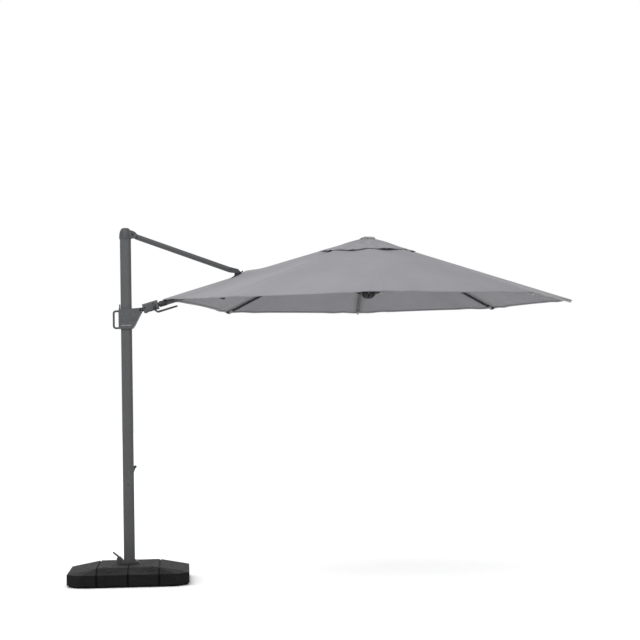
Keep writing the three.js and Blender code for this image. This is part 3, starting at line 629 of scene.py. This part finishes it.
def cloth_point(k, radius, across, full, apex, corner, sag, bow):
    """A point of the sheet over rib k: across runs from -1 to 1 between the two mid-panel lines.
    The cloth sags between the ribs and its hem bows inward."""
    share = radius / full
    turn = 1 if across >= 0 else -1
    panel = (k if turn > 0 else k - 1) % RIBS
    t = abs(across)
    ease = math.sin(math.pi * t / 2)
    here, there = corner(k), corner(k + turn)
    reach = share * full * (1 - t + t * (1 + math.cos(math.pi / 4)) / 2)
    aside = share * full * t * math.sin(math.pi / 4) / 2
    slack = 1 - bow * ease ** 2 * share ** 4
    z = apex + share * ((1 - t / 2) * here + t / 2 * there - apex)
    z -= sag * ease ** 2 * math.sin(math.pi * min(1, share) ** 0.8)
    if full == VENT_R:
        z += vent_shape(panel, radius, share, t)
    else:
        z += tension_folds(panel, share, t)
        if k % RIBS == LEFT:
            z += bracket_lift(radius, aside)
    out, along = outward(k)
    centre = Vector((CROWN_X, 0, 0))
    point = centre + out * reach * slack + along * turn * aside * slack
    point.z = z
    return point, turn * aside, radius


def cloth_sheet(name, k, radii, columns, full, apex, corner, sag, bow, opening=None):
    """One rib's share of the sheet, with its hem turned under along the outer edge."""
    steps = sorted({-c for c in columns} | set(columns))
    rows = []
    for radius in radii:
        rows.append([cloth_point(k, radius, c, full, apex, corner, sag, bow) for c in steps])
    fold = []
    for drop, back in ((0.0012, -0.0006), (0.0030, 0.0008), (0.0034, HEM / 2), (0.0032, HEM)):
        row = []
        for c in steps:
            point, u, v = cloth_point(k, full - back, c, full, apex, corner, sag, bow)
            row.append((point - Vector((0, 0, drop)), u, v + 0.004 + 2 * back))
        fold.append(row)
    grid = rows + fold
    count = len(steps)
    vertices = [p for row in grid for p, _, _ in row]
    where = [(u, v) for row in grid for _, u, v in row]
    faces = []
    for i in range(len(grid) - 1):
        for j in range(count - 1):
            if opening and i < len(rows) - 1:
                r = (rows[i][j][2] + rows[i + 1][j][2]) / 2
                y = abs(rows[i][j][1] + rows[i][j + 1][1]) / 2
                if opening[0] < r < opening[1] and y < opening[2]:
                    continue
            a = i * count + j
            faces.append((a, a + count, a + count + 1, a + 1))
    mesh = bpy.data.meshes.new(name)
    mesh.from_pydata([tuple(v) for v in vertices], [], faces)
    mesh.update()
    uv = mesh.uv_layers.new(name="metres")
    for loop in mesh.loops:
        uv.data[loop.index].uv = where[loop.vertex_index]
    smooth(mesh, 1.2)
    return bpy.data.objects.new(name, mesh)


def fold_with_rib(obj):
    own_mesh(obj)


def canopy_sector(k):
    side_step = [0, 0.012, 0.03, 0.046, 0.08] + [0.08 + 0.92 * i / 12 for i in range(1, 13)]
    radii = sorted(set(np.linspace(MAIN_INNER, CANOPY_R, 34).round(4)) | set(BRACKET_OPENING))
    opening = (*BRACKET_OPENING, BRACKET_OPENING_HALF) if k == LEFT else None
    main = cloth_sheet(
        f"canopy_main_{k}", k, radii, side_step, CANOPY_R, APEX_Z, corner_z, 0.016, HEM_BOW, opening)
    dress(main, FABRIC, f"spoke_{k}")
    vent_radii = np.linspace(VENT_INNER, VENT_R, 16)
    vent = cloth_sheet(
        f"canopy_vent_{k}", k, vent_radii, side_step, VENT_R, APEX_Z, vent_corner_z, -0.006, HEM_BOW)
    dress(vent, VENT_CLOTH, f"spoke_{k}")
    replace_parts(main, f"canopy_panel_{k}")
    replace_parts(vent, f"canopy_panel_{k}")
    for obj, reach, inner in ((main, CANOPY_R, MAIN_INNER), (vent, VENT_R, VENT_INNER)):
        fold_with_rib(obj)


def squared_tube(name, tip, axes, sections, material, body):
    """A closed tube of rounded-square sections. Each is (along the rib, half width, half height, rise)."""
    slope, along, up = axes
    sides = 20
    vertices = []
    for back, wide, tall, rise in sections:
        for i in range(sides):
            angle = 2 * math.pi * i / sides
            c, s = math.cos(angle), math.sin(angle)
            square = (abs(c) ** 4 + abs(s) ** 4) ** -0.25
            vertices.append(tip + slope * back + along * wide * c * square + up * (rise + tall * s * square))
    last = (len(sections) - 1) * sides
    faces = ring_faces(in_turn(len(sections)), sides)
    faces.append(tuple(reversed(range(sides))))
    faces.append(tuple(range(last, last + sides)))
    tube = add_mesh(name, vertices, faces, material, body)
    smooth(tube.data)


def rib_pocket(k):
    """The cloth sleeve sewn under the corner that holds the rib's tip, and its end: covered in
    cloth, or a bare cap that tapers up to the hem."""
    out, along = outward(k)
    slope = Vector((CANOPY_R * out.x, CANOPY_R * out.y, corner_z(k) - APEX_Z)).normalized()
    up = along.cross(slope) * -1
    level = math.cos(math.asin(-slope.z))
    tip = Vector((CROWN_X, 0, APEX_Z)) + slope * (CANOPY_R - 0.005) / level
    tip -= up * 0.0135
    covered = k in END_CLOTHS
    start = -0.16 if covered else -0.072
    sleeve = [(start, 0.0085, 0.0105, 0), (start + 0.004, 0.0095, 0.0115, 0), (-0.036, 0.0095, 0.0112, 0)]
    if covered:
        cap = [(-0.037, 0.0094, 0.0111, 0), (-0.006, 0.0094, 0.0108, 0), (0, 0.007, 0.008, 0)]
    else:
        cap = [(-0.036, 0.0085, 0.0096, 0), (-0.034, 0.009, 0.0102, 0), (-0.018, 0.009, 0.0078, 0.0028),
               (-0.003, 0.0085, 0.0052, 0.006), (0, 0.006, 0.0036, 0.0068)]
    axes = (slope, along, up)
    cloth = END_CLOTHS.get(k, POCKET_CLOTH)
    squared_tube(f"rib_pocket_{k}", tip, axes, sleeve, cloth, f"spoke_{k}")
    material, slot = (cloth, "cloth") if covered else (BLACK, "dark_plastic")
    squared_tube(f"rib_cap_{k}", tip, axes, cap, material, f"spoke_{k}")


def crown_rosette():
    """The gathered cloth that closes the vent's middle, pressed flat, with its pleats."""
    sides = 120
    rings = [
        (0.003, 0.003), (0.014, 0.0032), (0.026, 0.002), (0.038, -0.001), (0.049, -0.007), (0.0575, -0.0145)]
    vertices = []
    for radius, rise in rings:
        for i in range(sides):
            angle = 2 * math.pi * i / sides
            fade = min(1, radius / 0.02)
            pleat = 0.002 * math.sin(angle * 15) * fade * (1 + 0.4 * math.sin(angle * 3 + 1))
            r = radius * (1 + 0.06 * math.sin(angle * 5 + 0.7) + 0.03 * math.sin(angle * 11))
            x, y = r * math.cos(angle), r * math.sin(angle)
            nub = 0.005 * math.exp(-((x - 0.052) / 0.012) ** 2 - (y / 0.03) ** 2)
            vertices.append((CROWN_X + x, y, APEX_Z + rise + pleat + nub))
    faces = ring_faces(in_turn(len(rings)), sides)
    faces.append(tuple(reversed(range(sides))))
    obj = add_mesh("crown_rosette", vertices, faces, VENT_CLOTH, "boom")
    smooth(obj.data)
    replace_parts(obj, "finial")


for k in range(RIBS):
    canopy_sector(k)
    if k != LEFT:
        rib_pocket(k)
crown_rosette()


# ---- floor, light and camera ----
def floor():
    mesh = bpy.data.meshes.new("floor")
    reach = 60
    corners = [(-reach, -reach, 0), (reach, -reach, 0), (reach, reach, 0), (-reach, reach, 0)]
    mesh.from_pydata(corners, [], [(0, 1, 2, 3)])
    obj = bpy.data.objects.new("floor", mesh)
    bpy.context.scene.collection.objects.link(obj)
    n = Nodes("pale_floor")
    color = n.mix(n.ramp(n.noise(0.7), 0.3, 0.7), (0.96, 0.96, 0.96), (0.98, 0.98, 0.98))
    mesh.materials.append(n.finish(color, Roughness=0.9))


def sky():
    """White behind the object; as a light it is brighter overhead than near the horizon."""
    world = bpy.data.worlds.new("studio")
    world.use_nodes = True
    tree = world.node_tree
    place = tree.nodes.new("ShaderNodeTexCoord")
    split = tree.nodes.new("ShaderNodeSeparateXYZ")
    climb = tree.nodes.new("ShaderNodeMapRange")
    seen = tree.nodes.new("ShaderNodeLightPath")
    choose = tree.nodes.new("ShaderNodeMix")
    for name, number in zip(("From Min", "From Max", "To Min", "To Max"), (0.0, 0.9, 1.0, 1.35)):
        climb.inputs[name].default_value = number
    choose.inputs["B"].default_value = 1.0
    tree.links.new(place.outputs["Generated"], split.inputs[0])
    tree.links.new(split.outputs["Z"], climb.inputs["Value"])
    tree.links.new(seen.outputs["Is Camera Ray"], choose.inputs["Factor"])
    tree.links.new(climb.outputs["Result"], choose.inputs["A"])
    tree.links.new(choose.outputs["Result"], tree.nodes["Background"].inputs["Strength"])
    tree.nodes["Background"].inputs["Color"].default_value = (1, 1, 1, 1)
    bpy.context.scene.world = world


def soft_light(name, at, target, size, power):
    data = bpy.data.lights.new(name, "AREA")
    data.shape = "SQUARE"
    data.size = size
    data.energy = power
    data.spread = math.radians(90)
    obj = bpy.data.objects.new(name, data)
    obj.location = at
    obj.rotation_euler = (Vector(target) - Vector(at)).to_track_quat("-Z", "Y").to_euler()
    bpy.context.scene.collection.objects.link(obj)


def camera():
    """A long lens from the front, a little below the canopy's rim, as the photograph was taken."""
    data = bpy.data.cameras.new("camera")
    data.sensor_width = 36
    data.lens = CAMERA_LENS
    data.clip_end = 200
    obj = bpy.data.objects.new("camera", data)
    yaw, pitch, roll = (math.radians(a) for a in CAMERA_YAW_PITCH_ROLL)
    forward = Vector((-math.sin(yaw) * math.cos(pitch), math.cos(yaw) * math.cos(pitch), math.sin(pitch)))
    right = Vector((math.cos(yaw), math.sin(yaw), 0))
    up = right.cross(forward)
    tilted_right = math.cos(roll) * right + math.sin(roll) * up
    tilted_up = -math.sin(roll) * right + math.cos(roll) * up
    turn = Matrix((tilted_right, tilted_up, -forward)).transposed().to_4x4()
    obj.matrix_world = Matrix.Translation(CAMERA_AT) @ turn
    bpy.context.scene.collection.objects.link(obj)
    bpy.context.scene.camera = obj


floor()
sky()
soft_light("key", (-0.2, -3.6, 5.0), (1.0, -0.2, 2.3), 1.8, 33)
camera()
bpy.context.scene.view_settings.view_transform = "Standard"
